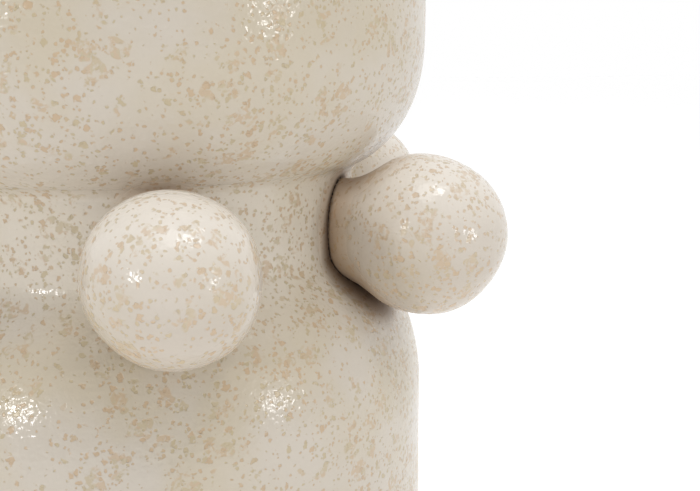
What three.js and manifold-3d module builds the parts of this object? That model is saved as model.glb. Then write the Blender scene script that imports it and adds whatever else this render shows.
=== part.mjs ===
// Stoneware vase: two drum-shaped bodies joined by a narrow waist, with a ring of hollow balls
// stuck round the waist. Every clay piece is made apart and joined with slip, so each is a solid
// of its own. Millimetres, +Z up, the foot stands on z = 0 and the front of the vase faces -Y.

import * as THREE from 'three';
import { mergeVertices } from 'three/addons/utils/BufferGeometryUtils.js';
import Module from 'manifold-3d';

const wasm = await Module();
wasm.setup();

// ---------------------------------------------------------------------------------------------
// Driving sizes
// ---------------------------------------------------------------------------------------------

// Bodies
const BODY_DIAMETER = 197;
const BODY_WALL = 7;
const LOWER_BODY_HEIGHT = 141.5;
const UPPER_BODY_HEIGHT = 122;
const FLOOR_THICKNESS = 9;
const FLOOR_CORNER_RADIUS = 16;
const FOOT_EDGE_RADIUS = 12;
const FOOT_RING_WIDTH = 10.5;
const FOOT_RECESS_DEPTH = 3;

// Rounding where each body turns in to the waist: how high it is, and how full it is each way
const SHOULDER_RISE = 40.5;
const SHOULDER_FULLNESS = { across: 1.9, along: 1.7 };
const UNDERSIDE_RISE = 43;
const UNDERSIDE_FULLNESS = { across: 1.5, along: 2.3 };

// Waist
const WAIST_DIAMETER = 149;
const WAIST_WALL = 10;
const WAIST_HEIGHT = 34.2;
const WAIST_HOLLOW = 0.8;
const WAIST_COVE_RADIUS = 3.5;
const SEAM_THICKNESS = 1.2;
const SEAM_INSET = 0.6;

// Balls
const BALL_COUNT = 6;
const BALL_DIAMETER = 50;
const BALL_WALL = 11;
const BALL_STANDOFF = 3.3;
const BALL_BODY_GAP = 0.8;
const SPIGOT_DIAMETER = 11;
const SPIGOT_BORE = 5;
const SPIGOT_SETBACK = 1;
const FILLET_MARGIN = 1.1;
const FILLET_WIDTH = 20;
const FILLET_PINCH = 1.6;

// Each ball is made by hand, so each differs a little: turn in degrees, lift in millimetres, and
// its size as a share of the nominal ball.
const FIRST_BALL_TURN = 1;
const HAND_MADE = [
  { turn: 3, lift: -0.2, size: 0.915 },
  { turn: -2, lift: -1.4, size: 1.03 },
  { turn: -1.5, lift: 1.4, size: 1.01 },
  { turn: 1, lift: 0.4, size: 0.96 },
  { turn: -1, lift: -0.6, size: 1.01 },
  { turn: 0.5, lift: 0.5, size: 0.98 },
];

// Gap left round a piece that passes through or is shaped to a neighbour
const CLEARANCE = 0.3;

// Facets
const BODY_SEGMENTS = 48;
const BALL_SEGMENTS = 20;
const BALL_RINGS = 14;
const HOLLOW_SEGMENTS = 12;
const HOLLOW_RINGS = 8;
const SPIGOT_SEGMENTS = 12;
const FILLET_SEGMENTS = 20;
const ROUNDING_STEPS = 9;
const CORNER_STEPS = 4;

// ---------------------------------------------------------------------------------------------
// Sizes worked out from the driving ones
// ---------------------------------------------------------------------------------------------

const BODY_RADIUS = BODY_DIAMETER / 2;
const BODY_INNER_RADIUS = BODY_RADIUS - BODY_WALL;
const WAIST_RADIUS = WAIST_DIAMETER / 2;
const WAIST_INNER_RADIUS = WAIST_RADIUS - WAIST_WALL;
const WAIST_FOOT_RADIUS = WAIST_RADIUS + WAIST_COVE_RADIUS;
const BALL_RADIUS = BALL_DIAMETER / 2;
const BALL_RING_RADIUS = WAIST_RADIUS + BALL_STANDOFF + BALL_RADIUS;

const WAIST_BASE_Z = LOWER_BODY_HEIGHT + SEAM_THICKNESS;
const UPPER_SEAM_Z = WAIST_BASE_Z + WAIST_HEIGHT;
const UPPER_BODY_BASE_Z = UPPER_SEAM_Z + SEAM_THICKNESS;
const BALL_RING_Z = WAIST_BASE_Z + WAIST_HEIGHT / 2;
const FILLET_HEIGHT = WAIST_HEIGHT - 2 * FILLET_MARGIN;

// ---------------------------------------------------------------------------------------------
// Materials
// ---------------------------------------------------------------------------------------------

const creamGlaze = () => new THREE.MeshStandardMaterial({ color: 0xcdc6b8, roughness: 0.25, metalness: 0 });
const ballGlaze = () => new THREE.MeshStandardMaterial({ color: 0xd6cfc1, roughness: 0.25, metalness: 0 });
const bareSlip = () => new THREE.MeshStandardMaterial({ color: 0x8f7250, roughness: 0.7, metalness: 0 });

// ---------------------------------------------------------------------------------------------
// Helpers
// ---------------------------------------------------------------------------------------------

const point = (radius, z) => new THREE.Vector2(radius, z);

// A solid of revolution about +Z. The profile runs anticlockwise, with the radius to the right.
function lathe(profile, segments) {
  const geometry = new THREE.LatheGeometry(profile, segments);
  geometry.rotateX(Math.PI / 2);
  return geometry;
}

// A closed ring profile ends on its first point.
function closed(profile) {
  return [...profile, profile[0].clone()];
}

// Quarter (or other) turn of a circle, both ends included, angles in degrees.
function arc(centre, radius, from, to) {
  return Array.from({ length: CORNER_STEPS + 1 }, (_, step) => {
    const angle = THREE.MathUtils.degToRad(from + ((to - from) * step) / CORNER_STEPS);
    return point(centre.x + radius * Math.cos(angle), centre.y + radius * Math.sin(angle));
  });
}

// Rounding from a waist edge out to a body wall, as a quarter of a superellipse. A negative rise
// turns downwards. The first point is the waist edge, the last is on the wall.
function rounding(edge, wallRadius, rise, fullness) {
  return Array.from({ length: ROUNDING_STEPS + 1 }, (_, step) => {
    const angle = (Math.PI / 2) * (step / ROUNDING_STEPS);
    const across = Math.sin(angle) ** (2 / fullness.across);
    const along = 1 - Math.max(Math.cos(angle), 0) ** (2 / fullness.along);
    return point(edge.x + (wallRadius - edge.x) * across, edge.y + rise * along);
  });
}

// Three.js geometry to a manifold-3d solid, and back.
function toSolid(geometry) {
  const bare = new THREE.BufferGeometry();
  bare.setAttribute('position', geometry.getAttribute('position'));
  bare.setIndex(geometry.getIndex());
  const merged = mergeVertices(bare, 1e-4);
  const index = merged.getIndex().array;
  const triangles = [];
  for (let i = 0; i < index.length; i += 3) {
    const [a, b, c] = index.slice(i, i + 3);
    if (a !== b && b !== c && c !== a) {
      triangles.push(a, b, c);
    }
  }
  return new wasm.Manifold(new wasm.Mesh({
    numProp: 3,
    vertProperties: new Float32Array(merged.getAttribute('position').array),
    triVerts: new Uint32Array(triangles),
  }));
}

function toGeometry(solid) {
  const mesh = solid.getMesh();
  const geometry = new THREE.BufferGeometry();
  geometry.setAttribute('position', new THREE.BufferAttribute(new Float32Array(mesh.vertProperties), 3));
  geometry.setIndex(new THREE.BufferAttribute(new Uint32Array(mesh.triVerts), 1));
  geometry.computeVertexNormals();
  return geometry;
}

function named(name, geometry, material) {
  const mesh = new THREE.Mesh(geometry, material);
  mesh.name = name;
  return mesh;
}

// A rod that lies along +X from one distance to another.
function radialRod(radius, from, to, segments) {
  const rod = new THREE.CylinderGeometry(radius, radius, to - from, segments);
  rod.rotateZ(-Math.PI / 2);
  rod.translate((from + to) / 2, 0, 0);
  return rod;
}

function sphereAt(distance, radius, segments, rings) {
  const sphere = new THREE.SphereGeometry(radius, segments, rings);
  sphere.translate(distance, 0, 0);
  return sphere;
}

// ---------------------------------------------------------------------------------------------
// Bodies
// ---------------------------------------------------------------------------------------------

// Outside of the lower body's shoulder, in the frame of the vase.
function outerShoulder() {
  const neck = point(WAIST_FOOT_RADIUS, LOWER_BODY_HEIGHT);
  return rounding(neck, BODY_RADIUS, -SHOULDER_RISE, SHOULDER_FULLNESS);
}

// Outside of the upper body's underside, with the body's base at the given height.
function outerUnderside(base) {
  return rounding(point(WAIST_RADIUS, base), BODY_RADIUS, UNDERSIDE_RISE, UNDERSIDE_FULLNESS);
}

// Lower body: closed floor on a foot ring, straight wall, rounded shoulder, open neck.
function lowerBody() {
  const footOuter = BODY_RADIUS - FOOT_EDGE_RADIUS;
  const footInner = footOuter - FOOT_RING_WIDTH;
  const innerNeck = point(WAIST_INNER_RADIUS, LOWER_BODY_HEIGHT - BODY_WALL);
  const innerRise = SHOULDER_RISE - BODY_WALL;
  const innerShoulder = rounding(innerNeck, BODY_INNER_RADIUS, -innerRise, SHOULDER_FULLNESS);
  const floorCorner = point(BODY_INNER_RADIUS - FLOOR_CORNER_RADIUS, FLOOR_THICKNESS + FLOOR_CORNER_RADIUS);
  return lathe([
    point(0, FOOT_RECESS_DEPTH),
    point(footInner - FOOT_RECESS_DEPTH, FOOT_RECESS_DEPTH),
    point(footInner, 0),
    ...arc(point(footOuter, FOOT_EDGE_RADIUS), FOOT_EDGE_RADIUS, -90, 0),
    ...outerShoulder().reverse(),
    point(WAIST_INNER_RADIUS, LOWER_BODY_HEIGHT),
    ...innerShoulder,
    ...arc(floorCorner, FLOOR_CORNER_RADIUS, 0, -90),
    point(0, FLOOR_THICKNESS),
  ], BODY_SEGMENTS);
}

// Upper body: open at the bottom onto the waist, rounded underside, straight wall, round lip.
function upperBody() {
  const innerEdge = point(WAIST_INNER_RADIUS, BODY_WALL);
  const innerRise = UNDERSIDE_RISE - BODY_WALL;
  const lipRadius = BODY_WALL / 2;
  const lipCentre = point(BODY_RADIUS - lipRadius, UPPER_BODY_HEIGHT - lipRadius);
  const innerUnderside = rounding(innerEdge, BODY_INNER_RADIUS, innerRise, UNDERSIDE_FULLNESS);
  return lathe(closed([
    point(WAIST_INNER_RADIUS, 0),
    ...outerUnderside(0),
    ...arc(lipCentre, lipRadius, 0, 180),
    ...innerUnderside.reverse(),
  ]), BODY_SEGMENTS);
}

// ---------------------------------------------------------------------------------------------
// Waist
// ---------------------------------------------------------------------------------------------

// Outside of the waist collar, grown by a margin: a cove flares its foot, and above the cove the
// wall is slightly hollow.
function waistOutline(margin) {
  const coveCentre = point(WAIST_FOOT_RADIUS + margin, WAIST_COVE_RADIUS);
  const wallHeight = WAIST_HEIGHT - WAIST_COVE_RADIUS;
  const wall = [0.25, 0.5, 0.75, 1].map((along) => {
    const hollow = WAIST_HOLLOW * Math.sin(Math.PI * along);
    return point(WAIST_RADIUS - hollow + margin, WAIST_COVE_RADIUS + wallHeight * along);
  });
  return [...arc(coveCentre, WAIST_COVE_RADIUS, 270, 180), ...wall];
}

// Waist collar: a short tube with one vent hole for the spigot of each ball.
function waistCollar(balls) {
  const tube = toSolid(lathe(closed([
    point(WAIST_INNER_RADIUS, 0),
    ...waistOutline(0),
    point(WAIST_INNER_RADIUS, WAIST_HEIGHT),
  ]), BODY_SEGMENTS));
  const holeRadius = SPIGOT_DIAMETER / 2 + CLEARANCE;
  const holes = balls.map((ball) => {
    const from = WAIST_INNER_RADIUS - WAIST_WALL;
    const hole = radialRod(holeRadius, from, WAIST_RADIUS + WAIST_WALL, SPIGOT_SEGMENTS);
    hole.rotateZ(ball.angle);
    hole.translate(0, 0, ball.z - WAIST_BASE_Z);
    return toSolid(hole);
  });
  return toGeometry(holes.reduce((solid, hole) => solid.subtract(hole), tube));
}

// Slip seam: the thin ring of slip that beds one body onto one end of the waist collar.
function slipSeam(edgeRadius) {
  const outer = edgeRadius - SEAM_INSET;
  return lathe(closed([
    point(WAIST_INNER_RADIUS, 0),
    point(outer, 0),
    point(outer, SEAM_THICKNESS),
    point(WAIST_INNER_RADIUS, SEAM_THICKNESS),
  ]), BODY_SEGMENTS);
}

// ---------------------------------------------------------------------------------------------
// Balls: modelled along +X from the axis of the vase, then turned into place
// ---------------------------------------------------------------------------------------------

// How far out a ball's centre has to be for the ball to keep its gap to both bodies.
function clearDistance(radius, z) {
  const reach = radius + BALL_BODY_GAP;
  const spots = [...outerShoulder(), ...outerUnderside(UPPER_BODY_BASE_Z)];
  const distances = spots.map((spot) => {
    const drop = Math.min(Math.abs(spot.y - z), reach);
    return drop < reach ? spot.x + Math.sqrt(reach ** 2 - drop ** 2) : 0;
  });
  return Math.max(...distances);
}

function ballPlaces() {
  return Array.from({ length: BALL_COUNT }, (_, index) => {
    const hand = HAND_MADE[index % HAND_MADE.length];
    const turn = FIRST_BALL_TURN + (360 / BALL_COUNT) * index + hand.turn;
    const radius = BALL_RADIUS * hand.size;
    const z = BALL_RING_Z + hand.lift;
    return {
      number: index + 1,
      radius,
      angle: THREE.MathUtils.degToRad(turn - 90),
      z,
      distance: Math.max(BALL_RING_RADIUS, clearDistance(radius, z)),
    };
  });
}

// Ball: hollow, with a bored spigot that passes through its fillet and seats in the vent hole.
function hollowBall(ball) {
  const spigotEnd = WAIST_INNER_RADIUS + SPIGOT_SETBACK;
  const hollowRadius = ball.radius - BALL_WALL;
  const outside = toSolid(sphereAt(ball.distance, ball.radius, BALL_SEGMENTS, BALL_RINGS));
  const spigot = toSolid(radialRod(SPIGOT_DIAMETER / 2, spigotEnd, ball.distance, SPIGOT_SEGMENTS));
  const bore = toSolid(radialRod(SPIGOT_BORE / 2, spigotEnd - 1, ball.distance, SPIGOT_SEGMENTS));
  const hollow = toSolid(sphereAt(ball.distance, hollowRadius, HOLLOW_SEGMENTS, HOLLOW_RINGS));
  return toGeometry(outside.add(spigot).subtract(hollow).subtract(bore));
}

// The plug of slip that a fillet is cut from: pinched at mid-length, taller than it is wide.
function filletPlug(ball) {
  const flare = FILLET_HEIGHT / 2;
  const seat = WAIST_RADIUS - WAIST_WALL / 2;
  const capDepth = Math.sqrt(ball.radius ** 2 - flare ** 2);
  const tip = ball.distance - capDepth + CLEARANCE;
  const middle = (WAIST_RADIUS + ball.distance - capDepth) / 2;
  const plug = new THREE.LatheGeometry([
    point(0, seat),
    point(flare, seat),
    point(flare, WAIST_RADIUS - WAIST_HOLLOW),
    point(flare - FILLET_PINCH, middle),
    point(flare, tip),
    point(0, tip),
  ], FILLET_SEGMENTS);
  plug.rotateZ(-Math.PI / 2);
  plug.scale(1, FILLET_WIDTH / FILLET_HEIGHT, 1);
  return plug;
}

// The waist and its two seams as one plain block, grown by the clearance, to shape a fillet's seat.
function waistBlock(ball) {
  const outline = waistOutline(CLEARANCE);
  const foot = point(outline[0].x, -SEAM_THICKNESS);
  const head = point(outline.at(-1).x, WAIST_HEIGHT + SEAM_THICKNESS);
  const block = lathe([point(0, foot.y), foot, ...outline, head, point(0, head.y)], BODY_SEGMENTS);
  block.rotateZ(-ball.angle);
  block.translate(0, 0, WAIST_BASE_Z - ball.z);
  return block;
}

// Slip fillet: the thick collar of slip between a ball and the waist, shaped to both.
function slipFillet(ball) {
  const holeRadius = SPIGOT_DIAMETER / 2 + CLEARANCE;
  const hole = radialRod(holeRadius, WAIST_INNER_RADIUS, ball.distance, SPIGOT_SEGMENTS);
  const roundBall = sphereAt(ball.distance, ball.radius + CLEARANCE, BALL_SEGMENTS, BALL_RINGS);
  const plug = toSolid(filletPlug(ball));
  const cutters = [waistBlock(ball), hole, roundBall].map(toSolid);
  return toGeometry(cutters.reduce((solid, cutter) => solid.subtract(cutter), plug));
}

// ---------------------------------------------------------------------------------------------
// Assembly
// ---------------------------------------------------------------------------------------------

function buildVase() {
  const vase = new THREE.Group();
  const balls = ballPlaces();

  vase.add(named('lower_body', lowerBody(), creamGlaze()));

  const lowerSeam = named('slip_seam_lower', slipSeam(WAIST_FOOT_RADIUS), creamGlaze());
  lowerSeam.position.z = LOWER_BODY_HEIGHT;
  vase.add(lowerSeam);

  const collar = named('waist_collar', waistCollar(balls), creamGlaze());
  collar.position.z = WAIST_BASE_Z;
  vase.add(collar);

  const upperSeam = named('slip_seam_upper', slipSeam(WAIST_RADIUS), creamGlaze());
  upperSeam.position.z = UPPER_SEAM_Z;
  vase.add(upperSeam);

  const upper = named('upper_body', upperBody(), creamGlaze());
  upper.position.z = UPPER_BODY_BASE_Z;
  vase.add(upper);

  for (const ball of balls) {
    const place = new THREE.Group();
    place.position.z = ball.z;
    place.rotation.z = ball.angle;
    place.add(named(`ball_${ball.number}`, hollowBall(ball), ballGlaze()));
    place.add(named(`slip_fillet_${ball.number}`, slipFillet(ball), bareSlip()));
    vase.add(place);
  }
  return vase;
}

export default buildVase();
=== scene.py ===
"""Stoneware vase with a ring of balls round its waist: every clay piece, glazed and lit.

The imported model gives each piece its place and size. This script turns finer, slightly uneven
pieces on the same axes, glazes them and stands the vase in a white studio. Lengths are in metres.
"""

import logging
import math
from collections.abc import Callable, Sequence
from dataclasses import dataclass
from enum import Enum

import bmesh
import bpy
from mathutils import Matrix, Vector, noise
from mathutils.bvhtree import BVHTree


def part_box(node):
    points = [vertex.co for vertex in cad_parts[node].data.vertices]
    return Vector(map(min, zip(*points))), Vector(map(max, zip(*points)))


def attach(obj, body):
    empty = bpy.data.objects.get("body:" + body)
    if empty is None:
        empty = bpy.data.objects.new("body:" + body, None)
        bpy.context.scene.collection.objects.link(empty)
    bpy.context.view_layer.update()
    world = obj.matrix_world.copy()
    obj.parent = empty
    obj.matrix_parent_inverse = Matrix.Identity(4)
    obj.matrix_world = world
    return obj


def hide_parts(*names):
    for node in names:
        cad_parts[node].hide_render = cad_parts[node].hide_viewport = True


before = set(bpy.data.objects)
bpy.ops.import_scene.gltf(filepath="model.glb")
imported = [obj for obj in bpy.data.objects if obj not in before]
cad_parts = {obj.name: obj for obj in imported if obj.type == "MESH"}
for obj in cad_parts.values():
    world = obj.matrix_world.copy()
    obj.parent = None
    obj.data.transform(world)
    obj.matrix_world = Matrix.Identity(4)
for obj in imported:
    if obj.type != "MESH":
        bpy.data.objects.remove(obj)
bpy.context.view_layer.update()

LOG = logging.getLogger("vase")
MM = 0.001
FULL_TURN = 2 * math.pi
SHARP_ANGLE = math.radians(50)
NEIGHBOUR = "neighbour"

Colour = tuple[float, float, float, float]


def tint(red: int, green: int, blue: int) -> Colour:
    """Turns a colour given in display values into the light values that shaders use.

    Args:
        red: Red, 0 to 255.
        green: Green, 0 to 255.
        blue: Blue, 0 to 255.

    Returns:
        The colour with an alpha of 1.
    """

    def linear(value: int) -> float:
        """Undoes the display curve for one channel."""
        share = value / 255
        return share / 12.92 if share <= 0.04045 else ((share + 0.055) / 1.055) ** 2.4

    return (linear(red), linear(green), linear(blue), 1.0)


class Slot(Enum):
    """The record's material slots."""

    CREAM = "cream_glaze"
    BALL = "ball_glaze"
    SLIP = "bare_slip"


# --------------------------------------------------------------------------------------------
# Shader wiring
# --------------------------------------------------------------------------------------------


class Wire:
    """A socket that Python arithmetic can work on, whether it carries a number or a vector."""

    def __init__(self, shader: "Shader", socket: bpy.types.NodeSocket) -> None:
        """Wraps a socket of a shader.

        Args:
            shader: The shader that the socket belongs to.
            socket: The output socket.
        """
        self.shader = shader
        self.socket = socket

    def is_vector(self) -> bool:
        """True if the wire carries a vector or a colour."""
        return self.socket.type in {"VECTOR", "RGBA"}

    def combine(self, operation: str, other: object) -> "Wire":
        """Adds the Math or Vector Math node for one operation.

        Args:
            operation: The node's operation.
            other: The right side, a wire, a number or a vector.

        Returns:
            The result as a wire.
        """
        if not self.is_vector():
            return self.shader.node("ShaderNodeMath", {"operation": operation}, {0: self, 1: other})
        if operation == "MULTIPLY" and isinstance(other, (int, float)):
            return self.shader.node("ShaderNodeVectorMath", {"operation": "SCALE"}, {0: self, 3: other})
        return self.shader.node("ShaderNodeVectorMath", {"operation": operation}, {0: self, 1: other})

    def __add__(self, other: object) -> "Wire":
        """Sum."""
        return self.combine("ADD", other)

    def __sub__(self, other: object) -> "Wire":
        """Difference."""
        return self.combine("SUBTRACT", other)

    def __mul__(self, other: object) -> "Wire":
        """Product."""
        return self.combine("MULTIPLY", other)

    def biggest(self, other: object) -> "Wire":
        """The larger of two numbers."""
        return self.combine("MAXIMUM", other)


class Shader:
    """A material's node tree, with one method that makes any node."""

    def __init__(self, name: str) -> None:
        """Makes an empty material.

        Args:
            name: The material's name.
        """
        self.material = bpy.data.materials.new(name)
        self.material.use_nodes = True
        self.tree = self.material.node_tree
        self.tree.nodes.clear()

    def node(
        self,
        kind: str,
        settings: dict[str, object] | None = None,
        inputs: dict[int | str, object] | None = None,
        output: int | str = 0,
    ) -> Wire:
        """Adds a node.

        Args:
            kind: The node's type.
            settings: The node's own properties, set first.
            inputs: What goes into its sockets, as wires or values.
            output: Which output socket to hand back.

        Returns:
            The output as a wire.
        """
        made = self.tree.nodes.new(kind)
        for name, value in (settings or {}).items():
            setattr(made, name, value)
        for key, value in (inputs or {}).items():
            if isinstance(value, Wire):
                self.tree.links.new(value.socket, made.inputs[key])
            else:
                made.inputs[key].default_value = value
        return Wire(self, made.outputs[output])

    def place_mm(self) -> Wire:
        """The point being shaded, in millimetres from the middle of the foot."""
        return self.node("ShaderNodeTexCoord", output="Object") * (1 / MM)

    def split(self, vector: Wire) -> tuple[Wire, Wire, Wire]:
        """Takes a vector apart.

        Args:
            vector: The vector or colour.

        Returns:
            Its three parts.
        """
        first = self.node("ShaderNodeSeparateXYZ", inputs={0: vector})
        outputs = first.socket.node.outputs
        return first, Wire(self, outputs[1]), Wire(self, outputs[2])

    def neighbour_mm(self) -> Wire:
        """How far the nearest neighbour that isn't glazed over is, in millimetres, from the mesh."""
        return self.node("ShaderNodeAttribute", {"attribute_name": NEIGHBOUR}, output="Fac") * (1 / MM)

    def cloud(self, place: Wire, size: float, detail: float, output: str = "Fac") -> Wire:
        """Soft noise.

        Args:
            place: Where, in millimetres.
            size: The width of its patches, in millimetres.
            detail: How many finer layers it holds.
            output: "Fac" for a number, "Color" for three at once.

        Returns:
            Noise about 0.5.
        """
        inputs = {"Vector": place, "Scale": 1 / size, "Detail": detail, "Roughness": 0.5}
        return self.node("ShaderNodeTexNoise", inputs=inputs, output=output)

    def ramp(self, value: object, low: float, high: float, start: float = 0.0, end: float = 1.0) -> Wire:
        """A smooth step from one level to another.

        Args:
            value: The number to read.
            low: Where the step begins.
            high: Where the step ends, which may be below low.
            start: The result at low.
            end: The result at high.

        Returns:
            The stepped number.
        """
        levels = {0: value, 1: low, 2: high, 3: start, 4: end}
        return self.node("ShaderNodeMapRange", {"interpolation_type": "SMOOTHSTEP"}, levels)

    def blend(self, share: object, below: object, above: object) -> Wire:
        """Mixes two colours.

        Args:
            share: How much of the second shows, 0 to 1.
            below: The first colour.
            above: The second colour.

        Returns:
            The mixed colour.
        """
        inputs = {0: share, 6: below, 7: above}
        return self.node("ShaderNodeMix", {"data_type": "RGBA"}, inputs, output=2)

    def finish(self, sockets: dict[str, object]) -> bpy.types.Material:
        """Ends the tree in a Principled shader.

        Args:
            sockets: What goes into the shader's sockets.

        Returns:
            The finished material.
        """
        surface = self.node("ShaderNodeBsdfPrincipled", inputs=sockets)
        sink = self.tree.nodes.new("ShaderNodeOutputMaterial")
        self.tree.links.new(surface.socket, sink.inputs["Surface"])
        return self.material


# --------------------------------------------------------------------------------------------
# Finishes
# --------------------------------------------------------------------------------------------


@dataclass(frozen=True)
class Speckle:
    """One family of speckles in the glaze.

    Attributes:
        cell: The space that each speckle may take, in millimetres.
        share: How many of the spaces hold a speckle, 0 to 1.
        smallest: The smallest radius, as a share of the space.
        largest: The largest radius, as a share of the space.
        edge: The width of the soft edge, as a share of the space.
        raggedness: How far the outline wanders, in millimetres.
        shift: Moves the pattern, in millimetres, so that families don't line up.
    """

    cell: float
    share: float
    smallest: float
    largest: float
    edge: float
    raggedness: float
    shift: float

    def mask(self, shader: Shader, place: Wire, crowd: Wire) -> tuple[Wire, Wire]:
        """Draws the family.

        Args:
            shader: The shader to draw in.
            place: Where, in millimetres.
            crowd: A slow change in how crowded the speckles are, about 0.5.

        Returns:
            How far the point is inside a speckle, 0 to 1, and a number that is the speckle's own.
        """
        wander = shader.cloud(place, self.cell * 0.55, 1.0, "Color") - (0.5, 0.5, 0.5)
        bent = place + wander * (self.raggedness * 2) + (self.shift, self.shift, self.shift)
        inputs = {"Vector": bent, "Scale": 1 / self.cell, "Randomness": 1.0}
        distance = shader.node("ShaderNodeTexVoronoi", inputs=inputs, output="Distance")
        own = Wire(shader, distance.socket.node.outputs["Color"])
        chance, size, tone = shader.split(own)
        radius = size * (self.largest - self.smallest) + self.smallest
        present = shader.ramp(crowd * (2 * self.share) - chance, -0.03, 0.03)
        inside = shader.ramp(radius - distance, 0.0, self.edge)
        return inside * present, tone


@dataclass(frozen=True)
class GlazeFinish:
    """Glossy cream glaze, pitted wherever a speckle of iron has broken through.

    Attributes:
        name: The material's name.
        pale: The glaze where it lies thickest.
        warm: The glaze where it lies thinner.
        painted_light_tone: The paler colour of painted light, laid over the waist and towards the tops of
            the balls.
        tan: The commoner colour of speckle.
        olive: The rarer colour of speckle.
        strength: How strongly the speckles show, 0 to 1.
        shade: The brown painted shade that shows where neighbours are near.
        shading: How strongly that painted shade shows, 0 to 1.
        shade_reach: How near a neighbour has to be for that, in millimetres.
        pool_and_shadow_reach: How near a neighbour has to be for the glaze pools and painted shadow, in
            millimetres.
        pool_and_shadow: The dark brown of glaze pools and painted shadow.
        pool_and_shadow_strength: How strongly that brown shows, 0 to 1.
        crevice: The dark brown where pieces meet.
        roughness: The roughness of the gloss.
        foot_line: The height of the bare foot, in millimetres, or 0 for none.
        painted_light_rise: The heights between which the painted light comes in, in millimetres.
        painted_light_strength: How much paler the painted light makes the glaze, 0 to 1.
        painted_light_fades: True if the painted light fades again above the waist.
        painted_light_fade: The heights between which it fades again, in millimetres.
        pool_and_shadow_heights: The heights between which the reach of the glaze pools and painted shadow
            changes, in millimetres.
        pool_and_shadow_stretch: How wide a gap counts below the waist for the glaze pools and painted
            shadow, against 2 above it.
    """

    name: str
    pale: Colour = tint(200, 191, 178)
    warm: Colour = tint(197, 186, 166)
    # Painted light: a paler tone that stands in for light falling over the waist.
    painted_light_tone: Colour = tint(222, 213, 198)
    tan: Colour = tint(190, 162, 128)
    olive: Colour = tint(184, 167, 132)
    strength: float = 0.74
    # Painted shade: brown laid on where a neighbour is near and shade falls.
    shade: Colour = tint(186, 142, 96)
    shading: float = 0.30
    shade_reach: float = 8.0
    # Glaze pools and painted shadow: dark brown where a neighbour is very near and shade falls.
    pool_and_shadow_reach: float = 4.4
    pool_and_shadow: Colour = tint(84, 58, 34)
    pool_and_shadow_strength: float = 0.85
    crevice: Colour = tint(30, 20, 12)
    roughness: float = 0.16
    foot_line: float = 0.0
    # Painted light over the waist, fading again above it.
    painted_light_rise: tuple[float, float] = (132.0, 154.0)
    painted_light_strength: float = 0.62
    painted_light_fades: bool = True
    painted_light_fade: tuple[float, float] = (190.0, 168.0)
    pool_and_shadow_heights: tuple[float, float] = (142.0, 182.0)
    pool_and_shadow_stretch: float = 0.5

    def families(self) -> tuple[Speckle, Speckle, Speckle]:
        """Sizes the speckles.

        Returns:
            The dots, the flecks and the blotches.
        """
        dots = Speckle(1.7, 0.60, 0.20, 0.44, 0.16, 0.45, 0.0)
        flecks = Speckle(2.7, 0.50, 0.18, 0.46, 0.16, 1.10, 31.0)
        blotches = Speckle(6.5, 0.50, 0.20, 0.54, 0.10, 3.20, 77.0)
        return dots, flecks, blotches

    def make(self) -> bpy.types.Material:
        """Builds the material.

        Returns:
            The glaze.
        """
        shader = Shader(self.name)
        place = shader.place_mm()
        level = shader.split(place)[2]
        crowd = shader.ramp(shader.cloud(place, 17.0, 2.0), 0.36, 0.62, 0.42, 1.15)
        drawn = [family.mask(shader, place, crowd) for family in self.families()]
        dots, flecks, blotches = (mask for mask, _ in drawn)
        tone = drawn[1][1]
        blotches = blotches * shader.ramp(shader.cloud(place, 1.7, 2.0), 0.38, 0.56)
        speckle = dots.biggest(flecks).biggest(blotches * 0.8)

        spot = shader.blend(shader.ramp(tone, 0.45, 0.70), self.tan, self.olive)
        colour = shader.blend(speckle * self.strength, self.ground(shader, place, level), spot)
        gap = shader.neighbour_mm()
        # Painted shade: darker and browner where the other group comes near, where shade falls.
        near = shader.ramp(gap, self.shade_reach, 0.3)
        # Glaze pools and painted shadow: dark brown in small gaps, reaching farther below the waist than
        # above it.
        pool_and_shadow_gap = gap * shader.ramp(level, *self.pool_and_shadow_heights, self.pool_and_shadow_stretch, 2.0)
        pool_and_shadow_mask = shader.ramp(pool_and_shadow_gap, self.pool_and_shadow_reach, 0.2)
        ragged = gap + (shader.cloud(place, 1.3, 2.0) - 0.5) * 1.5
        # Painted shade, then glaze pools with painted shadow, then the dark joint line.
        colour = shader.blend(near * self.shading, colour, self.shade)
        colour = shader.blend(pool_and_shadow_mask * self.pool_and_shadow_strength, colour, self.pool_and_shadow)
        colour = shader.blend(shader.ramp(ragged, 0.42, 0.16) * 0.9, colour, self.crevice)

        height = self.relief(shader, place) - (dots * 0.10 + flecks * 0.10 + blotches * 0.05)
        dulled = speckle * 0.08 + near * 0.36 + pool_and_shadow_mask * 0.30
        gloss = dulled + shader.cloud(place, 7.0, 2.0) * 0.06 + (self.roughness - 0.03)
        if self.foot_line:
            colour, gloss, height = self.bare_foot(shader, place, colour, gloss, height)
        normal = shader.node("ShaderNodeBump", inputs={"Height": height, "Distance": MM, "Strength": 1.0})
        return shader.finish({"Base Color": colour, "Roughness": gloss, "Normal": normal, "IOR": 1.5})

    def relief(self, shader: Shader, place: Wire) -> Wire:
        """The dimples and swells of thickly laid glaze, in millimetres of height."""
        peel, ripple, swell = (shader.cloud(place, width, 1.0) for width in (1.5, 4.5, 15.0))
        return peel * 0.16 + ripple * 0.16 + swell * 0.20

    def ground(self, shader: Shader, place: Wire, level: Wire) -> Wire:
        """Colours the glaze under its speckles, with painted light laid over it.

        Args:
            shader: The shader to draw in.
            place: Where, in millimetres.
            level: The height there, in millimetres.

        Returns:
            The colour, paler where the painted light is laid on.
        """
        body = shader.blend(shader.ramp(shader.cloud(place, 34.0, 3.0), 0.38, 0.64), self.pale, self.warm)
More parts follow.
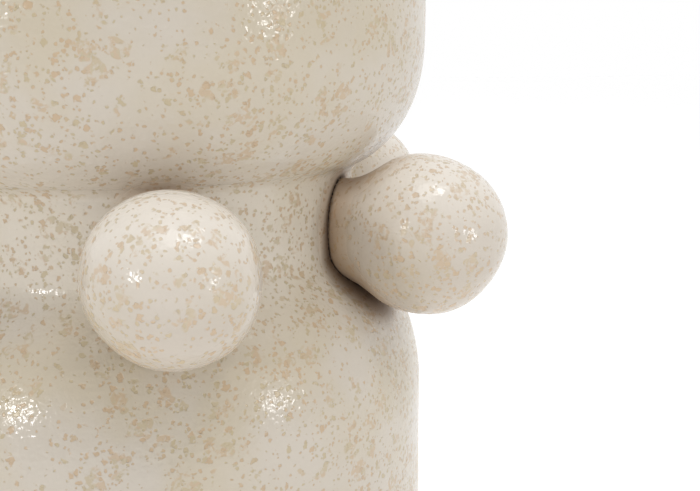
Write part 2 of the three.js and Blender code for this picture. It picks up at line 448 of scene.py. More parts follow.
        # Painted light: paler over the waist on the bodies and towards the tops of the balls, where light
        # falls.
        painted_light_share = shader.ramp(level, *self.painted_light_rise) * self.painted_light_strength
        if self.painted_light_fades:
            painted_light_share = painted_light_share * shader.ramp(level, *self.painted_light_fade)
        return shader.blend(painted_light_share, body, self.painted_light_tone)

    def bare_foot(
        self, shader: Shader, place: Wire, colour: Wire, gloss: Wire, height: Wire
    ) -> tuple[Wire, Wire, Wire]:
        """Wipes the glaze off the foot.

        Args:
            shader: The shader to draw in.
            place: Where, in millimetres.
            colour: The glaze's colour.
            gloss: The glaze's roughness.
            height: The glaze's relief, in millimetres.

        Returns:
            Colour, roughness and relief, glazed above the line and bare below it.
        """
        level = shader.split(place)[2] + shader.cloud(place, 9.0, 2.0) * 1.6
        bare = shader.ramp(level, self.foot_line + 1.0, self.foot_line + 0.6)
        halo = shader.ramp(level, self.foot_line + 3.0, self.foot_line + 1.0)
        grog = shader.cloud(place, 0.9, 3.0)
        clay = shader.blend(shader.ramp(grog, 0.35, 0.65), tint(150, 118, 84), tint(187, 160, 126))
        colour = shader.blend(halo * 0.55, colour, tint(171, 132, 84))
        colour = shader.blend(bare, colour, clay)
        gloss = gloss + bare * 0.62
        height = height - bare * 0.35 + bare * grog * 0.16
        return colour, gloss, height


BODY_GLAZE = GlazeFinish("cream glaze on the bodies")
LOWER_GLAZE = GlazeFinish("cream glaze on the lower body", foot_line=2.4)
BALL_GLAZE = GlazeFinish(
    "cream glaze on the balls",
    pale=tint(197, 187, 174),
    warm=tint(194, 183, 166),
    # Painted light: the paler tone towards the tops of the balls.
    painted_light_tone=tint(236, 229, 219),
    tan=tint(198, 164, 120),
    olive=tint(194, 172, 128),
    strength=0.54,
    # Painted shade on the balls where they come near the vessel.
    shade=tint(192, 152, 106),
    shading=0.46,
    shade_reach=15.0,
    # Glaze pools and painted shadow on the balls near the vessel.
    pool_and_shadow_reach=2.8,
    pool_and_shadow_strength=0.6,
    painted_light_rise=(149.0, 188.0),
    painted_light_strength=1.0,
    painted_light_fades=False,
    pool_and_shadow_stretch=2.0,
)

# --------------------------------------------------------------------------------------------
# Turning clay
# --------------------------------------------------------------------------------------------


@dataclass(frozen=True)
class Rounding:
    """A quarter of a superellipse, from a waist edge out to a body wall.

    Attributes:
        rise: Its height, negative where it falls.
        across: Its fullness across.
        along: Its fullness along the axis.
        steps: How many segments it has.
    """

    rise: float
    across: float
    along: float
    steps: int = 40

    def points(self, edge: Vector, wall: float) -> list[Vector]:
        """Draws it.

        Args:
            edge: The waist edge.
            wall: The radius of the body wall.

        Returns:
            The points, from the edge to the wall.
        """
        drawn = []
        for step in range(self.steps + 1):
            angle = math.pi / 2 * step / self.steps
            out = math.sin(angle) ** (2 / self.across)
            up = 1 - max(math.cos(angle), 0.0) ** (2 / self.along)
            drawn.append(Vector((edge.x + (wall - edge.x) * out, 0.0, edge.z + self.rise * up)))
        return drawn


def at(radius: float, height: float) -> Vector:
    """A profile point."""
    return Vector((radius, 0.0, height))


def arc(centre: Vector, radius: float, start: float, end: float, steps: int) -> list[Vector]:
    """Part of a circle in a profile.

    Args:
        centre: Its centre.
        radius: Its radius.
        start: Where it starts, in degrees.
        end: Where it ends, in degrees.
        steps: How many segments it has.

    Returns:
        The points, both ends included.
    """
    angles = [math.radians(start + (end - start) * step / steps) for step in range(steps + 1)]
    return [centre + Vector((math.cos(angle), 0.0, math.sin(angle))) * radius for angle in angles]


def run(start: Vector, end: Vector, steps: int) -> list[Vector]:
    """The points inside a straight run, without its ends."""
    return [start.lerp(end, step / steps) for step in range(1, steps)]


def turned(profile: Sequence[Vector], steps: int, ring: bool) -> bmesh.types.BMesh:
    """Spins a profile once round the Z axis.

    Args:
        profile: The points, in the XZ plane.
        steps: How many segments go round.
        ring: True if the profile closes on itself, False if both ends lie on the axis.

    Returns:
        The closed shape.
    """
    clay = bmesh.new()
    verts = [clay.verts.new(point) for point in profile]
    pairs = list(zip(verts, verts[1:]))
    if ring:
        pairs.append((verts[-1], verts[0]))
    edges = [clay.edges.new(pair) for pair in pairs]
    bmesh.ops.spin(
        clay,
        geom=[*verts, *edges],
        cent=(0, 0, 0),
        axis=(0, 0, 1),
        angle=FULL_TURN,
        steps=steps,
        use_merge=True,
    )
    bmesh.ops.remove_doubles(clay, verts=clay.verts, dist=1e-6)
    bmesh.ops.recalc_face_normals(clay, faces=clay.faces)
    return clay


def uneven(
    clay: bmesh.types.BMesh,
    amount: float,
    span: float,
    seed: float,
    freedom: Callable[[Vector], float],
    lean: float = 0.0,
) -> None:
    """Makes a shape slightly uneven, as hands do.

    Args:
        clay: The shape.
        amount: How far a point may move.
        span: The width of the bumps.
        seed: Picks the pattern.
        freedom: How free a point is to move, 0 where the piece is seated.
        lean: How much of the amount the whole surface is taken in by.
    """
    clay.normal_update()
    offset = Vector((seed, seed * 1.7, seed * 2.3))
    moves = [
        vert.normal * (amount * freedom(vert.co) * (noise.noise(vert.co / span + offset) - lean))
        for vert in clay.verts
    ]
    for vert, move in zip(clay.verts, moves):
        vert.co += move


@dataclass
class Piece:
    """A finished clay piece.

    Attributes:
        name: What a potter would call it.
        node: The CAD node that it stands for.
        slot: The record's material slot.
        finish: Its glaze.
        thing: Its Blender object.
    """

    name: str
    node: str
    slot: Slot
    finish: GlazeFinish
    thing: bpy.types.Object

    @classmethod
    def from_clay(
        cls, name: str, node: str, slot: Slot, finish: GlazeFinish, clay: bmesh.types.BMesh
    ) -> "Piece":
        """Makes the object and seats it on the frame.

        Args:
            name: What a potter would call it.
            node: The CAD node that it stands for.
            slot: The record's material slot.
            finish: Its glaze.
            clay: Its shape, which is used up.

        Returns:
            The piece.
        """
        mesh = bpy.data.meshes.new(name)
        clay.to_mesh(mesh)
        clay.free()
        mesh.polygons.foreach_set("use_smooth", [True] * len(mesh.polygons))
        mesh.set_sharp_from_angle(angle=SHARP_ANGLE)
        thing = bpy.data.objects.new(name, mesh)
        bpy.context.scene.collection.objects.link(thing)
        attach(thing, "root")
        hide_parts(node)
        return cls(name, node, slot, finish, thing)

    def report(self) -> None:
        """Logs what the piece is."""
        faces = len(self.thing.data.polygons)
        LOG.info("%s: %d faces of %s, stands for %s", self.name, faces, self.slot.value, self.node)


# --------------------------------------------------------------------------------------------
# Bodies
# --------------------------------------------------------------------------------------------


@dataclass
class Bodies:
    """The two drum-shaped bodies, sized from their CAD nodes.

    Attributes:
        wall: The wall thickness.
        floor: The floor thickness.
        foot_edge: The radius of the foot's outer edge.
        foot_ring: The width of the foot ring.
        foot_recess: How far the base is hollowed inside the foot ring.
        floor_corner: The radius inside, between the floor and the wall.
        shoulder: How the lower body turns in.
        underside: How the upper body turns in.
        steps: How many segments go round.
        sway: How uneven the walls are.
        sway_span: The width of a swell in a wall.
        ease: The height over which a wall becomes free to sway.
    """

    wall: float = 7 * MM
    floor: float = 9 * MM
    foot_edge: float = 12 * MM
    foot_ring: float = 10.5 * MM
    foot_recess: float = 3 * MM
    floor_corner: float = 16 * MM
    shoulder: Rounding = Rounding(-40.5 * MM, 1.9, 1.7)
    underside: Rounding = Rounding(43 * MM, 1.5, 2.3)
    steps: int = 288
    sway: float = 0.5 * MM
    sway_span: float = 55 * MM
    ease: float = 18 * MM

    def inner(self, rounding: Rounding) -> Rounding:
        """The rounding on the inside of the wall."""
        rise = rounding.rise - math.copysign(self.wall, rounding.rise)
        return Rounding(rise, rounding.across, rounding.along, rounding.steps // 2)

    def radius(self, node: str) -> float:
        """The outer radius of a CAD node."""
        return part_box(node)[1].x

    def shoulder_points(self, collar: "Collar") -> list[Vector]:
        """The outside of the lower body's shoulder, from its top edge to the wall."""
        edge = at(collar.foot_radius(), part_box("lower_body")[1].z)
        return self.shoulder.points(edge, self.radius("lower_body"))

    def underside_points(self, collar: "Collar") -> list[Vector]:
        """The outside of the upper body's underside, from its bottom edge to the wall."""
        edge = at(collar.head_radius(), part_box("upper_body")[0].z)
        return self.underside.points(edge, self.radius("upper_body"))

    def lower(self, collar: "Collar") -> Piece:
        """Turns the lower body.

        Args:
            collar: The waist collar that it carries.

        Returns:
            The lower body.
        """
        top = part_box("lower_body")[1].z
        wall = self.radius("lower_body")
        inside = wall - self.wall
        foot_outer = wall - self.foot_edge
        foot_inner = foot_outer - self.foot_ring
        shoulder = self.shoulder_points(collar)[::-1]
        inner = self.inner(self.shoulder).points(at(collar.inner_radius(), top - self.wall), inside)
        corner = at(inside - self.floor_corner, self.floor + self.floor_corner)
        foot = arc(at(foot_outer, self.foot_edge), self.foot_edge, -90, 0, 14)
        floor_arc = arc(corner, self.floor_corner, 0, -90, 10)
        profile = [
            at(0, self.foot_recess),
            *run(at(0, self.foot_recess), at(foot_inner - self.foot_recess, self.foot_recess), 8),
            at(foot_inner - self.foot_recess, self.foot_recess),
            at(foot_inner - self.foot_recess * 0.3, self.foot_recess * 0.3),
            at(foot_inner, 0),
            *run(at(foot_inner, 0), foot[0], 5),
            *foot,
            *run(foot[-1], shoulder[0], 24),
            *shoulder,
            at(collar.inner_radius(), top),
            *inner,
            *run(inner[-1], floor_arc[0], 16),
            *floor_arc,
            *run(floor_arc[-1], at(0, self.floor), 8),
            at(0, self.floor),
        ]
        clay = turned(profile, self.steps, ring=False)
        uneven(clay, self.sway, self.sway_span, 3.0, lambda co: self.freedom(co.z, 0.0, shoulder[-12].z))
        return Piece.from_clay("Lower_drum", "lower_body", Slot.CREAM, LOWER_GLAZE, clay)

    def upper(self, collar: "Collar") -> Piece:
        """Turns the upper body.

        Args:
            collar: The waist collar that it stands on.

        Returns:
            The upper body.
        """
        low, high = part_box("upper_body")
        wall = self.radius("upper_body")
        inside = wall - self.wall
        lip = self.wall / 2
        underside = self.underside_points(collar)
        inner = self.inner(self.underside).points(at(collar.inner_radius(), low.z + self.wall), inside)[::-1]
        lip_arc = arc(at(wall - lip, high.z - lip), lip, 0, 180, 14)
        profile = [
            at(collar.inner_radius(), low.z),
            *underside,
            *run(underside[-1], lip_arc[0], 24),
            *lip_arc,
            *run(lip_arc[-1], inner[0], 16),
            *inner,
        ]
        clay = turned(profile, self.steps, ring=True)
        start = underside[8].z
        uneven(clay, self.sway, self.sway_span, 11.0, lambda co: self.freedom(co.z, start, high.z))
        return Piece.from_clay("Upper_drum", "upper_body", Slot.CREAM, BODY_GLAZE, clay)

    def freedom(self, height: float, low: float, high: float) -> float:
        """How free a wall is to sway at a height: not at all where it is seated or at the lip."""
        return max(0.0, min((height - low) / self.ease, (high - height) / self.ease, 1.0))


# --------------------------------------------------------------------------------------------
# Waist
# --------------------------------------------------------------------------------------------


@dataclass
class Collar:
    """The waist collar and the slip seams that bed it.

    Attributes:
        wall: The collar's wall thickness.
        cove: The radius of the cove at its foot.
        hollow: How hollow its wall is at mid-height.
        smear_up: How far the lower seam is smeared up the collar.
        smear_down: Which point of the shoulder the lower seam runs out on.
        fold_down: How far the upper seam is smeared down the collar.
        fold_out: Which point of the underside the upper seam runs out on.
        feather: How far a smear's edge sinks into the clay.
        wall_pull: How far a smear follows the collar's wall, as a share of its fold.
        body_pull: How far it follows the body, as a share of its length.
        bed: How deep a seam's inner faces lie in the clay.
        vent: The radius of a vent hole.
        steps: How many segments go round.
    """

    wall: float = 10 * MM
    cove: float = 3.5 * MM
    hollow: float = 0.8 * MM
    smear_up: float = 10 * MM
    smear_down: int = 12
    fold_down: float = 2.6 * MM
    fold_out: int = 6
    feather: float = 0.06 * MM
    wall_pull: float = 0.72
    body_pull: float = 0.36
    bed: float = 0.8 * MM
    vent: float = 5.8 * MM
    steps: int = 420

    def foot_radius(self) -> float:
        """The radius of the collar's flared foot."""
        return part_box("waist_collar")[1].x

    def head_radius(self) -> float:
        """The radius of the collar's top edge."""
        return self.foot_radius() - self.cove

    def inner_radius(self) -> float:
        """The radius of the collar's bore."""
        return self.head_radius() - self.wall

    def wall_radius(self, height: float) -> float:
        """Measures the collar's hollowed wall.

        Args:
            height: The height to measure at.

        Returns:
            The radius of its outside.
        """
        low, high = (corner.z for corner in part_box("waist_collar"))
        share = (height - low - self.cove) / (high - low - self.cove)
        return self.head_radius() - self.hollow * math.sin(math.pi * share)

    def outline(self) -> list[Vector]:
        """Draws the outside of the collar.

        Returns:
            The points, from its foot to its head.
        """
        low, high = (corner.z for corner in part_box("waist_collar"))
        cove = arc(at(self.foot_radius(), low + self.cove), self.cove, 270, 180, 8)
        base = low + self.cove
        heights = [base + (high - base) * step / 36 for step in range(1, 37)]
        return [*cove, *(at(self.wall_radius(height), height) for height in heights)]

    def tube(self, places: Sequence["BallPlace"]) -> Piece:
        """Turns the collar and bores its vent holes.

        Args:
            places: Where the balls sit.

        Returns:
            The collar.
        """
        low, high = (corner.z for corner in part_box("waist_collar"))
        inner_foot, inner_head = at(self.inner_radius(), low), at(self.inner_radius(), high)
        profile = [inner_foot, *self.outline(), inner_head, *run(inner_head, inner_foot, 10)]
        clay = turned(profile, self.steps, ring=True)
        drill = bmesh.new()
        for place in places:
            rod = bmesh.ops.create_cone(
                drill, cap_ends=True, segments=32, radius1=self.vent, radius2=self.vent, depth=4 * self.wall
            )
            along = Matrix.Rotation(math.pi / 2, 4, "Y")
            out = Matrix.Translation((self.inner_radius() + self.wall / 2, 0, 0))
            bmesh.ops.transform(drill, verts=rod["verts"], matrix=place.matrix() @ out @ along)
        clay = bored(clay, drill)
        return Piece.from_clay("Waist_tube", "waist_collar", Slot.CREAM, BODY_GLAZE, clay)

    def lower_seam(self, shoulder: Sequence[Vector]) -> Piece:
        """Smears slip over the joint with the lower body, whose shoulder runs from its top edge out."""
        name = "Lower_slip_line"
        return self.seam("slip_seam_lower", name, shoulder, -1, self.smear_up, self.smear_down)

    def upper_seam(self, underside: Sequence[Vector]) -> Piece:
        """Smears slip over the joint with the upper body, whose underside runs from its bottom edge out."""
        name = "Upper_slip_line"
        return self.seam("slip_seam_upper", name, underside, 1, self.fold_down, self.fold_out)

    def seam(
        self, node: str, name: str, rounding: Sequence[Vector], side: int, fold: float, reach: int
    ) -> Piece:
        """Smears slip over the joint between the collar and a body.

        Args:
            node: The CAD node that the slip stands for.
            name: What a potter would call it.
            rounding: The outside of the body, from its waist edge outwards.
            side: 1 where the body is above the collar, -1 where it is below.
            fold: How far the slip is smeared along the collar.
            reach: Which point of the rounding it runs out on.

        Returns:
            The seam.
        """
        near, far = (corner.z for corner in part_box(node)[::side])
        level = near - side * fold
        start = at(self.wall_radius(level) - self.feather, level)
        skin = self.smear(start, side * fold, rounding, reach)
        beyond = [point + at(0, side * self.bed) for point in rounding[reach::-3]]
        bore = self.inner_radius()
        inside = [at(bore, far), at(bore, near), at(start.x - self.bed, near), at(start.x - self.bed, level)]
        clay = turned([*inside, *skin, *beyond], self.steps, ring=True)
        return Piece.from_clay(name, node, Slot.CREAM, BODY_GLAZE, clay)

    def smear(self, start: Vector, lean: float, rounding: Sequence[Vector], reach: int) -> list[Vector]:
        """Draws the smoothed outside of a seam, from the collar's wall to a body's rounding.

        Args:
            start: Where it leaves the wall.
            lean: How far it follows the wall, up or down.
            rounding: The outside of the body.
            reach: Which point of the rounding it runs out on.

        Returns:
            The points of the smear.
        """
        end = rounding[reach]
        along = (rounding[reach + 1] - rounding[reach - 1]).normalized()
        sink = Vector((along.z, 0, -along.x)) * -math.copysign(self.feather, lean)
        follow = (end - start).length * self.body_pull
        knots = [start, start + at(0, lean * self.wall_pull), end - along * follow, end + sink]
        return [bezier(knots, step / 24) for step in range(25)]


def bezier(knots: Sequence[Vector], share: float) -> Vector:
    """A point on a cubic curve.

    Args:
        knots: The curve's four control points.
        share: How far along it, 0 to 1.

    Returns:
        The point.
    """
    left = 1 - share
    weights = (left**3, 3 * left**2 * share, 3 * left * share**2, share**3)
    return sum((knot * weight for knot, weight in zip(knots, weights)), Vector())


def bored(clay: bmesh.types.BMesh, drill: bmesh.types.BMesh) -> bmesh.types.BMesh:
    """Cuts one closed shape out of another.

    Args:
        clay: The shape to cut, which is used up.
        drill: What to cut away, which is used up.

    Returns:
        The cut shape.
    """
    things = []
    for shape in (clay, drill):
        mesh = bpy.data.meshes.new("cut")
        bmesh.ops.recalc_face_normals(shape, faces=shape.faces)
        shape.to_mesh(mesh)
        shape.free()
        thing = bpy.data.objects.new("cut", mesh)
        bpy.context.scene.collection.objects.link(thing)
        things.append(thing)
    cut = things[0].modifiers.new("bore", "BOOLEAN")
    cut.operation = "DIFFERENCE"
    cut.solver = "EXACT"
    cut.object = things[1]
    result = bmesh.new()
    result.from_object(things[0], bpy.context.evaluated_depsgraph_get())
    for thing in things:
        mesh = thing.data
        bpy.data.objects.remove(thing)
        bpy.data.meshes.remove(mesh)
    return result


# --------------------------------------------------------------------------------------------
# Balls
# --------------------------------------------------------------------------------------------


@dataclass(frozen=True)
class BallPlace:
    """Where one ball sits, read from its CAD node.

    Attributes:
        number: The ball's number, from 1 at the front.
        turn: The angle of its spigot from +X, in radians.
        height: The height of its centre.
        distance: How far its centre is from the axis of the vase.
        radius: The ball's radius.
        spigot_end: How far the spigot's mouth is from the axis of the vase.
    """

    number: int
    turn: float
    height: float
    distance: float
    radius: float
    spigot_end: float

    @classmethod
    def read(cls, number: int) -> "BallPlace":
        """Measures a ball's CAD node.

        Args:
            number: The ball's number.

        Returns:
            The ball's place.
        """
        node = f"ball_{number}"
        low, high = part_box(node)
        corners = [vert.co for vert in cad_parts[node].data.vertices]
        spigot_end = min(corner.xy.length for corner in corners)
        mouth_depth = 0.6 * MM
        mouth = [corner for corner in corners if corner.xy.length < spigot_end + mouth_depth]
        middle = sum(mouth, Vector()) / len(mouth)
        radius = (high.z - low.z) / 2
        reach = max(corner.xy.length for corner in corners)
        turn = math.atan2(middle.y, middle.x)
        return cls(number, turn, (low.z + high.z) / 2, reach - radius, radius, spigot_end)

    def matrix(self) -> Matrix:
        """Takes a shape made along +X from the vase's axis to the ball's place."""
        return Matrix.Translation((0, 0, self.height)) @ Matrix.Rotation(self.turn, 4, "Z")


@dataclass
class BallRing:
    """The ring of balls and the slip fillets that join them to the waist.

    Attributes:
        wall: A ball's wall thickness.
        spigot: The spigot's radius.
        bore: The radius of the spigot's bore.
        lumpiness: How far a ball is from round.
        lump_span: The width of a lump.
        lean: How much of the lumpiness a ball is taken in by, so that no lump stands out.
        fillet_height: The fillet's half height at the waist.
        fillet_width: The fillet's half width at the waist.
        fillet_pinch: How far the fillet is pinched in near the waist.
        pinch_place: Where it is pinched, as a share of its length.
        fillet_pull: How far it follows the ball's curve, as a share of its length.
        fillet_meet: How far from its middle the fillet runs out on the ball.
        fillet_bed: How deep the fillet starts behind the collar's surface.
        fillet_cap: How far its bore runs on inside the ball.
        fillet_flare: How soon it widens towards the ball, 1 for evenly.
        feather: How far the fillet's edge sinks into the ball.
        spare: The gap between the fillet's bore and the spigot.
        steps: How many segments go round.
    """

    wall: float = 11 * MM
    spigot: float = 5.5 * MM
    bore: float = 2.5 * MM
    lumpiness: float = 1.0 * MM
    lump_span: float = 24 * MM
    lean: float = 0.35
    fillet_height: float = 16.8 * MM
    fillet_width: float = 9.2 * MM
    fillet_pinch: float = 0.9 * MM
    pinch_place: float = 0.45
    fillet_pull: float = 0.42
    fillet_meet: float = 22.0 * MM
    fillet_bed: float = 1.4 * MM
    fillet_cap: float = 1.5 * MM
    fillet_flare: float = 2.4
    feather: float = 0.05 * MM
    spare: float = 0.3 * MM
    steps: int = 128

    def ball(self, place: BallPlace) -> Piece:
        """Rolls one ball, hollow, with its bored spigot.

        Args:
            place: Where it sits.

        Returns:
            The ball.
        """
        hollow = place.radius - self.wall
        neck = math.degrees(math.asin(self.spigot / place.radius))
        mouth = math.degrees(math.asin(self.bore / hollow))
        tip = place.spigot_end - place.distance
        root = -place.radius * math.cos(math.radians(neck))
        shell = arc(Vector(), place.radius, 90, -90 + neck, 72)
        cavity = arc(Vector(), hollow, -90 + mouth, 90, 18)
        profile = [
            *shell,
            *run(at(self.spigot, root), at(self.spigot, tip), 6),
            at(self.spigot, tip),
            at(self.bore, tip),
            *run(at(self.bore, tip), cavity[0], 5),
            *cavity,
        ]
        profile[0].x = 0.0
        profile[-1].x = 0.0
        clay = turned(profile, self.steps, ring=False)
        seed = 5.0 * place.number
        uneven(clay, self.lumpiness, self.lump_span, seed, self.shell_only(place), self.lean)
        lie = Matrix.Translation((place.distance, 0, 0)) @ Matrix.Rotation(math.pi / 2, 4, "Y")
        bmesh.ops.transform(clay, verts=clay.verts, matrix=place.matrix() @ lie)
        name, node = f"Clay_ball_{place.number}", f"ball_{place.number}"
        return Piece.from_clay(name, node, Slot.BALL, BALL_GLAZE, clay)

    def shell_only(self, place: BallPlace) -> Callable[[Vector], float]:
        """Lets the outside of a ball be lumpy and holds its spigot, joint and hollow true.

        Args:
            place: Where the ball sits.

        Returns:
            How free a point of the ball is to move.
        """

        def freedom(co: Vector) -> float:
            """1 on the open outside, easing to 0 where the fillet meets it, and 0 inside."""
            inside = co.length < place.radius - MM
            return 0.0 if inside else min(max((co.z / place.radius + 0.45) / 0.5, 0.0), 1.0)

        return freedom

    def fillet(self, place: BallPlace, collar: Collar) -> Piece:
        """Smooths slip round one ball's joint, so that the ball runs into it.

        Args:
            place: Where the ball sits.
            collar: The collar that the ball is stuck to.

        Returns:
            The fillet.
        """
        meet = min(self.fillet_meet, 0.9 * place.radius)
        depth = math.sqrt(place.radius**2 - meet**2)
        slope = Vector((depth / place.radius, 0.0, meet / place.radius))
        seat = at(self.fillet_height, collar.head_radius() - self.fillet_bed)
        tip = at(meet, place.distance - depth)
        reach = tip.z - seat.z
        sink = Vector((-slope.z, 0.0, slope.x)) * self.feather
        pinched = seat + at(-self.fillet_pinch, reach * self.pinch_place)
        knots = [seat, pinched, tip - slope * (reach * self.fillet_pull), tip + sink]
        curve = [bezier(knots, (step / 40) ** 1.3) for step in range(41)]
        bore = self.spigot + self.spare
        profile = [at(bore, seat.z), *curve, at(bore, tip.z + self.fillet_cap)]
        clay = turned(profile, self.steps, ring=True)
        lie = Matrix.Rotation(math.pi / 2, 4, "Y")
        bmesh.ops.transform(clay, verts=clay.verts, matrix=lie)
        narrow = self.fillet_width / self.fillet_height
        for vert in clay.verts:
            left = 1 - min(max((vert.co.x - seat.z) / reach, 0.0), 1.0)
            vert.co.y *= narrow + (1 - narrow) * (1 - left**self.fillet_flare)
        bmesh.ops.transform(clay, verts=clay.verts, matrix=place.matrix())
        name, node = f"Slip_neck_{place.number}", f"slip_fillet_{place.number}"
        return Piece.from_clay(name, node, Slot.SLIP, BALL_GLAZE, clay)


# --------------------------------------------------------------------------------------------
# Glazing
# --------------------------------------------------------------------------------------------


@dataclass
class Kiln:
    """Glazes the pieces, with painted shade, glaze pools with painted shadow and a dark joint line where the
    balls come near the vessel.

    Attributes:
        reach: The widest gap that is measured.
        margin: How far from the waist gaps are still measured.
    """

    reach: float = 14 * MM
    margin: float = 42 * MM

    def fire(self, vessel: Sequence[Piece], ring: Sequence[Piece]) -> None:
        """Marks every piece with the gap to the other group, and gives each its glaze.

        Args:
            vessel: The bodies, the collar and its seams, which are glazed over as one.
            ring: The balls and their fillets, which are glazed over as one.
        """
        vessel_tree, ring_tree = self.tree(vessel), self.tree(ring)
        glazes = {piece.finish: piece.finish.make() for piece in (*vessel, *ring)}
        for pieces, tree in ((vessel, ring_tree), (ring, vessel_tree)):
            for piece in pieces:
                self.mark(piece, tree)
                piece.thing.data.materials.append(glazes[piece.finish])

    def tree(self, pieces: Sequence[Piece]) -> BVHTree:
        """Joins the surfaces of some pieces for distance searches.

        Args:
            pieces: The pieces.

        Returns:
            Their surfaces as one tree.
        """
        clay = bmesh.new()
        for piece in pieces:
            clay.from_mesh(piece.thing.data)
        tree = BVHTree.FromBMesh(clay)
        clay.free()
        return tree

    def mark(self, piece: Piece, tree: BVHTree) -> None:
        """Writes how near the other group is to each point of a piece.

        Args:
            piece: The piece to mark.
            tree: The surface of the other group.
        """
        mesh = piece.thing.data
        low, high = (corner.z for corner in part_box("waist_collar"))
        gaps = []
        for vert in mesh.vertices:
            near = low - self.margin < vert.co.z < high + self.margin
            distance = tree.find_nearest(vert.co, self.reach)[3] if near else None
            gaps.append(self.reach if distance is None else distance)
        mesh.attributes.new(NEIGHBOUR, "FLOAT", "POINT").data.foreach_set("value", gaps)


# --------------------------------------------------------------------------------------------
# Studio
# --------------------------------------------------------------------------------------------


@dataclass(frozen=True)
class SoftBox:
    """One studio light.

    Attributes:
        name: The light's name.
        turn: Its bearing from the front of the vase towards +X, in degrees.
        rise: Its angle above the horizon, in degrees.
        distance: How far it is from the waist.
        width: Its width.
        power: Its power, in watts.
    """

    name: str
    turn: float
    rise: float
    distance: float
    width: float
    power: float

    def hang(self, aim: Vector) -> None:
        """Makes the light and points it.

        Args:
            aim: What it lights.
        """
        lamp = bpy.data.lights.new(self.name, "AREA")
        lamp.shape = "DISK"
        lamp.size = self.width
        lamp.energy = self.power
        thing = bpy.data.objects.new(self.name, lamp)
        turn, rise = math.radians(self.turn), math.radians(self.rise)
        flat = math.cos(rise)
        away = Vector((math.sin(turn) * flat, -math.cos(turn) * flat, math.sin(rise)))
        thing.location = aim + away * self.distance
        thing.rotation_euler = away.to_track_quat("Z", "Y").to_euler()
        bpy.context.scene.collection.objects.link(thing)


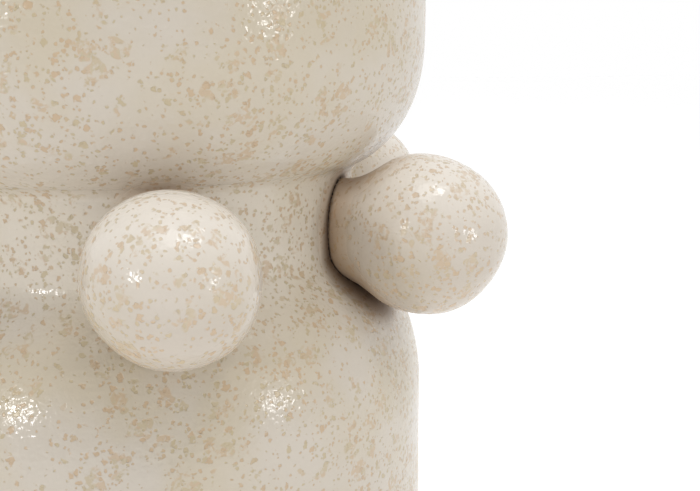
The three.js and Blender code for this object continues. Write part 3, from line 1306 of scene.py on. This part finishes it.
@dataclass
class Studio:
    """White floor, white surroundings, four lights and the camera.

    Attributes:
        lights: The lights.
        dim_from: Where the surroundings are at their dimmest, from -1 in front to 1 behind and above.
        dim_to: Where they reach full brightness.
        dim_level: How bright the dimmest part is.
        camera_distance: How far the camera stands in front of the vase's axis.
        camera_height: How high it is above the waist's middle.
        camera_turn: How far it looks to the right, in degrees.
        camera_tilt: How far it looks down, in degrees.
        lens: Its focal length in millimetres, on a sensor 36 mm wide.
        floor_size: How far the floor reaches from the foot.
    """

    lights: tuple[SoftBox, ...] = (
        SoftBox("Left_light", -46.5, 12.5, 1.3, 0.15, 2.0),
        SoftBox("Right_light", 46.7, 8.3, 1.3, 0.15, 1.15),
        SoftBox("Window_light", 47.0, 62.0, 1.3, 0.30, 2.0),
        SoftBox("Overhead_light", 10.0, 70.0, 1.5, 0.8, 3.8),
    )
    dim_from: float = -0.5
    dim_to: float = 0.75
    dim_level: float = 0.52
    camera_distance: float = 0.3375
    camera_height: float = 0.057
    camera_turn: float = 12.57
    camera_tilt: float = 11.83
    lens: float = 49.17
    floor_size: float = 6.0

    def build(self) -> None:
        """Sets up the whole studio."""
        low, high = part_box("waist_collar")
        waist = Vector((0, 0, (low.z + high.z) / 2))
        self.floor()
        self.surroundings()
        for light in self.lights:
            light.hang(waist)
        self.camera(waist)
        bpy.context.scene.view_settings.view_transform = "Standard"

    def floor(self) -> None:
        """Lays a wide white floor under the foot."""
        sheet = bmesh.new()
        bmesh.ops.create_grid(sheet, x_segments=1, y_segments=1, size=self.floor_size)
        mesh = bpy.data.meshes.new("Floor")
        sheet.to_mesh(mesh)
        sheet.free()
        thing = bpy.data.objects.new("Floor", mesh)
        bpy.context.scene.collection.objects.link(thing)
        shader = Shader("white floor")
        white = (1.0, 1.0, 1.0, 1.0)
        paint = {"Base Color": (0.86, 0.86, 0.86, 1.0), "Roughness": 0.9, "Emission Color": white}
        mesh.materials.append(shader.finish({**paint, "Emission Strength": 0.30}))

    def surroundings(self) -> None:
        """Surrounds the vase with even white light, a little dimmer on the camera's side."""
        world = bpy.data.worlds.new("White surroundings")
        world.use_nodes = True
        tree = world.node_tree
        bearing = tree.nodes.new("ShaderNodeTexCoord").outputs["Generated"]
        lean = tree.nodes.new("ShaderNodeVectorMath")
        lean.operation = "DOT_PRODUCT"
        lean.inputs[1].default_value = (0.0, 1.0, 0.3)
        tree.links.new(bearing, lean.inputs[0])
        level = tree.nodes.new("ShaderNodeMapRange")
        level.interpolation_type = "SMOOTHSTEP"
        for index, value in ((1, self.dim_from), (2, self.dim_to), (3, self.dim_level), (4, 1.0)):
            level.inputs[index].default_value = value
        tree.links.new(lean.outputs["Value"], level.inputs[0])
        light = tree.nodes["Background"].inputs
        light["Color"].default_value = (1.0, 1.0, 1.0, 1.0)
        tree.links.new(level.outputs[0], light["Strength"])
        bpy.context.scene.world = world

    def camera(self, waist: Vector) -> None:
        """Sets up the camera.

        Args:
            waist: The middle of the waist.
        """
        eye = bpy.data.cameras.new("Camera")
        eye.sensor_width = 36
        eye.lens = self.lens
        eye.clip_start = 0.01
        thing = bpy.data.objects.new("Camera", eye)
        thing.location = waist + Vector((0, -self.camera_distance, self.camera_height))
        tilt = math.radians(90 - self.camera_tilt)
        thing.rotation_euler = (tilt, 0, -math.radians(self.camera_turn))
        bpy.context.scene.collection.objects.link(thing)
        bpy.context.scene.camera = thing


def main() -> None:
    """Builds the vase, glazes it and sets up the studio."""
    logging.basicConfig(level=logging.INFO, format="%(message)s")
    count = sum(name.startswith("ball_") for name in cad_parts)
    places = [BallPlace.read(number) for number in range(1, count + 1)]
    bodies, collar, ring = Bodies(), Collar(), BallRing()
    vessel = [
        bodies.lower(collar),
        collar.lower_seam(bodies.shoulder_points(collar)),
        collar.tube(places),
        collar.upper_seam(bodies.underside_points(collar)),
        bodies.upper(collar),
    ]
    stuck_on = []
    for place in places:
        stuck_on.append(ring.ball(place))
        stuck_on.append(ring.fillet(place, collar))
    Kiln().fire(vessel, stuck_on)
    for piece in (*vessel, *stuck_on):
        piece.report()
    Studio().build()


if __name__ == "__main__":
    main()
